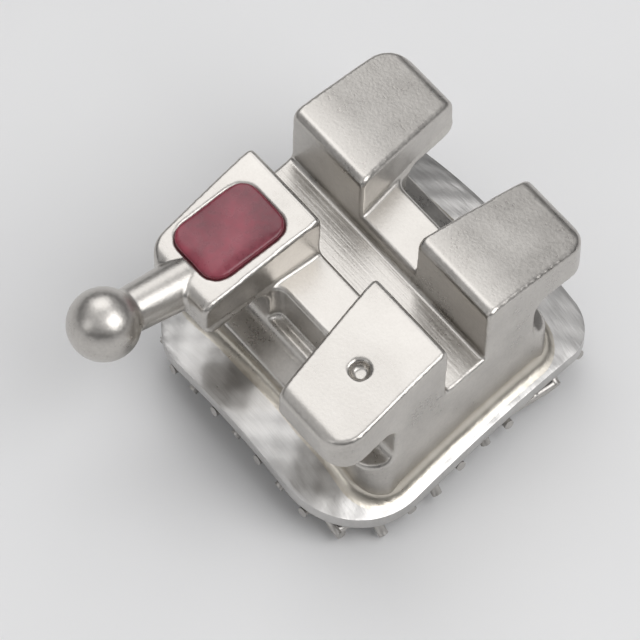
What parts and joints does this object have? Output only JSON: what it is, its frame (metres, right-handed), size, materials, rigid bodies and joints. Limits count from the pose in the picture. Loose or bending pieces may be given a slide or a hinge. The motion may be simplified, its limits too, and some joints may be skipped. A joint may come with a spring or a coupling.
{
  "type": "orthodontic bracket",
  "caption": "Twin tie-wing tooth bracket with an archwire slot, a ball hook, a red identification mark and a curved woven-mesh bonding base.",
  "frame": {"origin": "middle of the archwire slot's floor", "axes": "+Z out of the slot, away from the tooth; +X along the slot, towards the hook side; +Y towards the gum, the way the hook points"},
  "size_m": [0.0037, 0.0047, 0.0023],
  "materials": {
    "moulded_steel": "tumbled, satin, fine sintered grain",
    "foil_steel": "rolled foil, satin",
    "mesh_wire": "drawn wire, matte",
    "braze_filler": "flowed braze, slightly warm",
    "red_paint": "glossy dark red lacquer"
  },
  "bodies": {
    "root": {"bracket_body": "moulded_steel", "base_pad": "foil_steel", "bonding_mesh": "mesh_wire", "braze_seam": "braze_filler", "identification_paint": "red_paint"}
  },
  "joints": []
}
